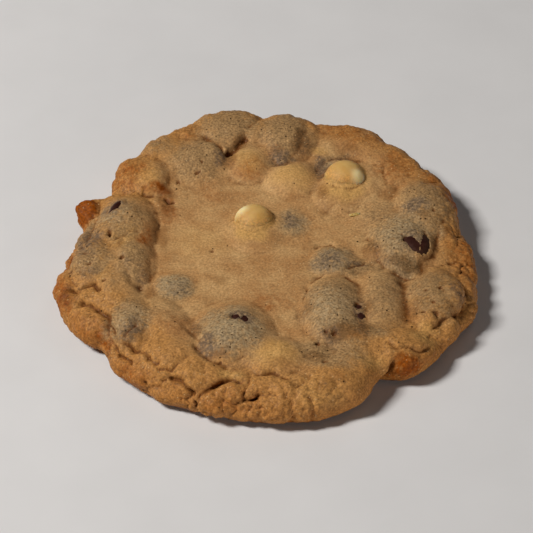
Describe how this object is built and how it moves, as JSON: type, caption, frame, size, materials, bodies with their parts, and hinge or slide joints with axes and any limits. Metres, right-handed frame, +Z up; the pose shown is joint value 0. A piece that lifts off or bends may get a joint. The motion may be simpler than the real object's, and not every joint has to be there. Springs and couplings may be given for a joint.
{
  "type": "chocolate chip cookie",
  "caption": "Soft round cookie with a cragged rim and swollen top, with white and dark chocolate chips showing through the dough.",
  "frame": {"origin": "middle of the footprint, on the flat underside", "axes": "+Z up, out of the top; +X towards the two-lobed shoulder, to the right as seen from the near side; +Y away from the near side, towards the far rim"},
  "size_m": [0.0961, 0.0994, 0.0123],
  "materials": {
    "baked_dough": "soft baked dough, matt, with a fine sugary grain and a browned rim",
    "white_chocolate": "warm cream chocolate, satin",
    "dark_chocolate": "dark brown chocolate with a dull bloom"
  },
  "bodies": {
    "root": {"dough": "baked_dough", "white_chip_right": "white_chocolate", "white_chip_middle": "white_chocolate", "dark_chip_right": "dark_chocolate", "dark_chip_near_right": "dark_chocolate", "dark_chip_near": "dark_chocolate", "dark_chip_left": "dark_chocolate"}
  },
  "joints": []
}
